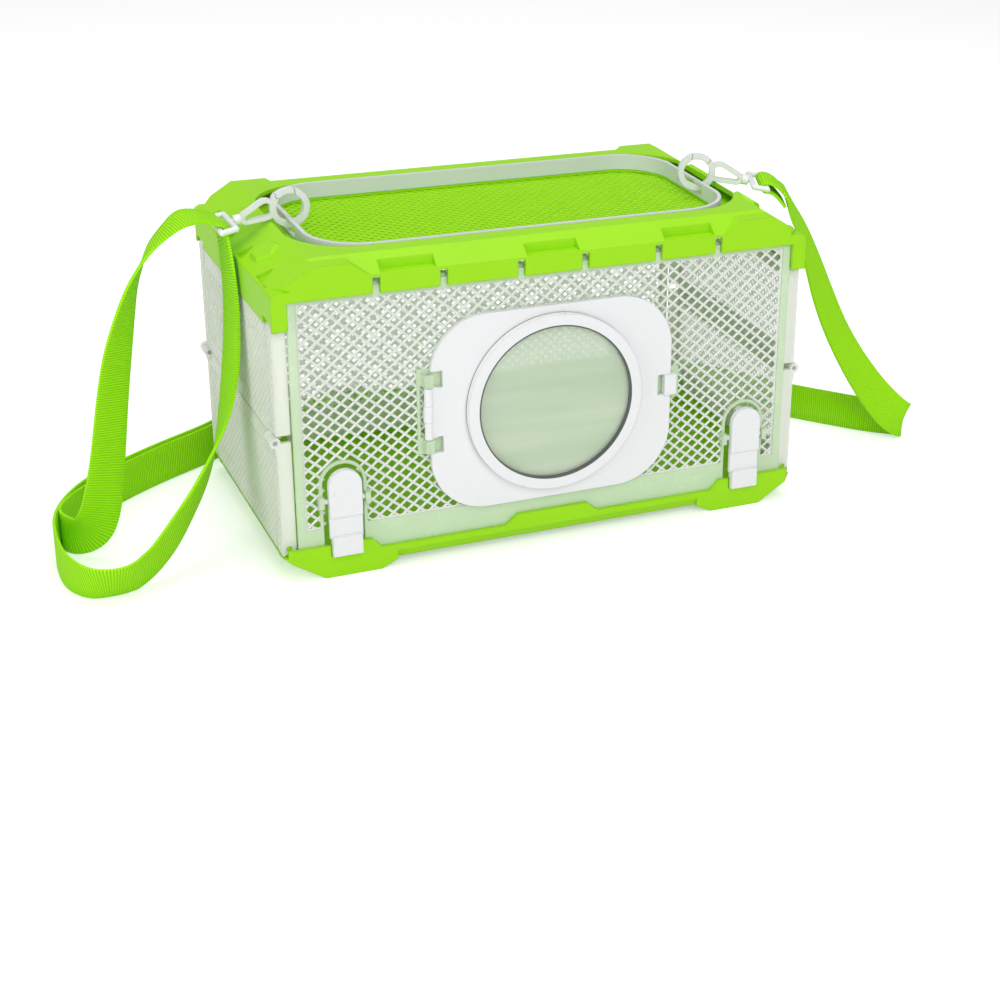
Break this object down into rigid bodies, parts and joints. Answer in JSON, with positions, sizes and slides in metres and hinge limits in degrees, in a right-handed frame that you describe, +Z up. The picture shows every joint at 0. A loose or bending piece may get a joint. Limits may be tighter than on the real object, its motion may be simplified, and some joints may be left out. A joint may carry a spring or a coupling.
{
  "type": "pop-up insect cage",
  "caption": "Folding mesh insect cage: green tray and roof frame, clear net walls, round-window door, snap latches and a shoulder strap on snap hooks.",
  "frame": {"origin": "on the table under the middle of the cage, without its strap", "axes": "+X along the long side to the viewer's right, -Y towards the door, +Z up"},
  "size_m": [0.4624, 0.1803, 0.1684],
  "materials": {
    "green": "satin",
    "white": "satin",
    "ring_white": "satin",
    "clear_wall": "satin",
    "clear_net": "satin",
    "lens": "polished",
    "rod": "satin",
    "webbing": "matte"
  },
  "bodies": {
    "shell": {"base_tray": "green", "top_frame": "green", "roof_carrier": "green", "liner_ring": "ring_white", "roof_mesh": "green", "front_hinge_rod": "rod", "back_hinge_rod": "rod", "strap_webbing": "webbing", "strap_slider": "white", "right_swivel_loop": "white", "left_swivel_loop": "white"},
    "left_lower": {"left_lower_panel": "clear_wall", "left_lower_net": "clear_net", "left_mid_pins": "white"},
    "left_upper": {"left_upper_panel": "clear_wall", "left_upper_net": "clear_net"},
    "right_lower": {"right_lower_panel": "clear_wall", "right_lower_net": "clear_net", "right_mid_pins": "white"},
    "right_upper": {"right_upper_panel": "clear_wall", "right_upper_net": "clear_net"},
    "front": {"front_wall": "clear_wall", "front_net": "clear_net", "door_hinge_pin": "rod"},
    "back": {"back_wall": "clear_wall", "back_net": "clear_net"},
    "door": {"door_plate": "white", "door_bezel": "white", "door_lens": "lens", "door_hinge_clip": "white", "door_catch": "white"},
    "front_right_latch_body": {"front_right_latch": "white"},
    "front_left_latch_body": {"front_left_latch": "white"},
    "back_right_latch_body": {"back_right_latch": "white"},
    "back_left_latch_body": {"back_left_latch": "white"},
    "right_hook": {"right_hook_body": "white"},
    "left_hook": {"left_hook_body": "white"},
    "right_gate": {"right_hook_gate": "white"},
    "left_gate": {"left_hook_gate": "white"}
  },
  "joints": [
    {"name": "end_fold", "type": "hinge", "parent": "shell", "child": "left_lower", "pos_m": [-0.13, 0, 0.016], "axis": [0, -1, 0], "range_deg": [-90, 0]},
    {"name": "left_mid_fold", "type": "hinge", "parent": "left_lower", "child": "left_upper", "pos_m": [-0.1338, 0, 0.07], "axis": [0, -1, 0], "range_deg": [0, 180]},
    {"name": "right_base_fold", "type": "hinge", "parent": "shell", "child": "right_lower", "pos_m": [0.13, 0, 0.016], "axis": [0, -1, 0], "range_deg": [0, 90]},
    {"name": "right_mid_fold", "type": "hinge", "parent": "right_lower", "child": "right_upper", "pos_m": [0.1338, 0, 0.07], "axis": [0, -1, 0], "range_deg": [-180, 0]},
    {"name": "front_wall_swing", "type": "hinge", "parent": "shell", "child": "front", "pos_m": [0, -0.0665, 0.1405], "axis": [1, 0, 0], "range_deg": [0, 90]},
    {"name": "back_wall_swing", "type": "hinge", "parent": "shell", "child": "back", "pos_m": [0, 0.0676, 0.127], "axis": [-1, 0, 0], "range_deg": [0, 90]},
    {"name": "door_swing", "type": "hinge", "parent": "front", "child": "door", "pos_m": [-0.0626, -0.0725, 0.0762], "axis": [0, 0, 1], "range_deg": [-110, 0]},
    {"name": "front_right_latch_lift", "type": "hinge", "parent": "front", "child": "front_right_latch_body", "pos_m": [0.104, -0.0706, 0.0388], "axis": [1, 0, 0], "range_deg": [-50, 0]},
    {"name": "front_left_latch_lift", "type": "hinge", "parent": "front", "child": "front_left_latch_body", "pos_m": [-0.104, -0.0706, 0.0388], "axis": [1, 0, 0], "range_deg": [-50, 0]},
    {"name": "back_right_latch_lift", "type": "hinge", "parent": "back", "child": "back_right_latch_body", "pos_m": [0.104, 0.0706, 0.0388], "axis": [-1, 0, 0], "range_deg": [-50, 0]},
    {"name": "back_left_latch_lift", "type": "hinge", "parent": "back", "child": "back_left_latch_body", "pos_m": [-0.104, 0.0706, 0.0388], "axis": [-1, 0, 0], "range_deg": [-50, 0]},
    {"name": "right_hook_swivel", "type": "hinge", "parent": "shell", "child": "right_hook", "pos_m": [0.12833, -0.01578, 0.15493], "axis": [0.9281, -0.3378, -0.1564], "range_deg": [-4, 12]},
    {"name": "left_hook_swivel", "type": "hinge", "parent": "shell", "child": "left_hook", "pos_m": [-0.12988, 0, 0.15493], "axis": [-0.9877, 0, -0.1564], "range_deg": [-9, 9]},
    {"name": "right_gate_press", "type": "hinge", "parent": "right_hook", "child": "right_gate", "pos_m": [0.10893, -0.00872, 0.16522], "axis": [-0.342, -0.9397, 0], "range_deg": [0, 20], "stiffness_Nm_per_rad": 0.02},
    {"name": "left_gate_press", "type": "hinge", "parent": "left_hook", "child": "left_gate", "pos_m": [-0.10923, 0, 0.16522], "axis": [0, 1, 0], "range_deg": [0, 20], "stiffness_Nm_per_rad": 0.02}
  ],
  "couplings": [
    {"joint": "left_mid_fold", "follows": "end_fold", "ratio": -2},
    {"joint": "right_base_fold", "follows": "end_fold", "ratio": -1},
    {"joint": "right_mid_fold", "follows": "end_fold", "ratio": 2}
  ]
}
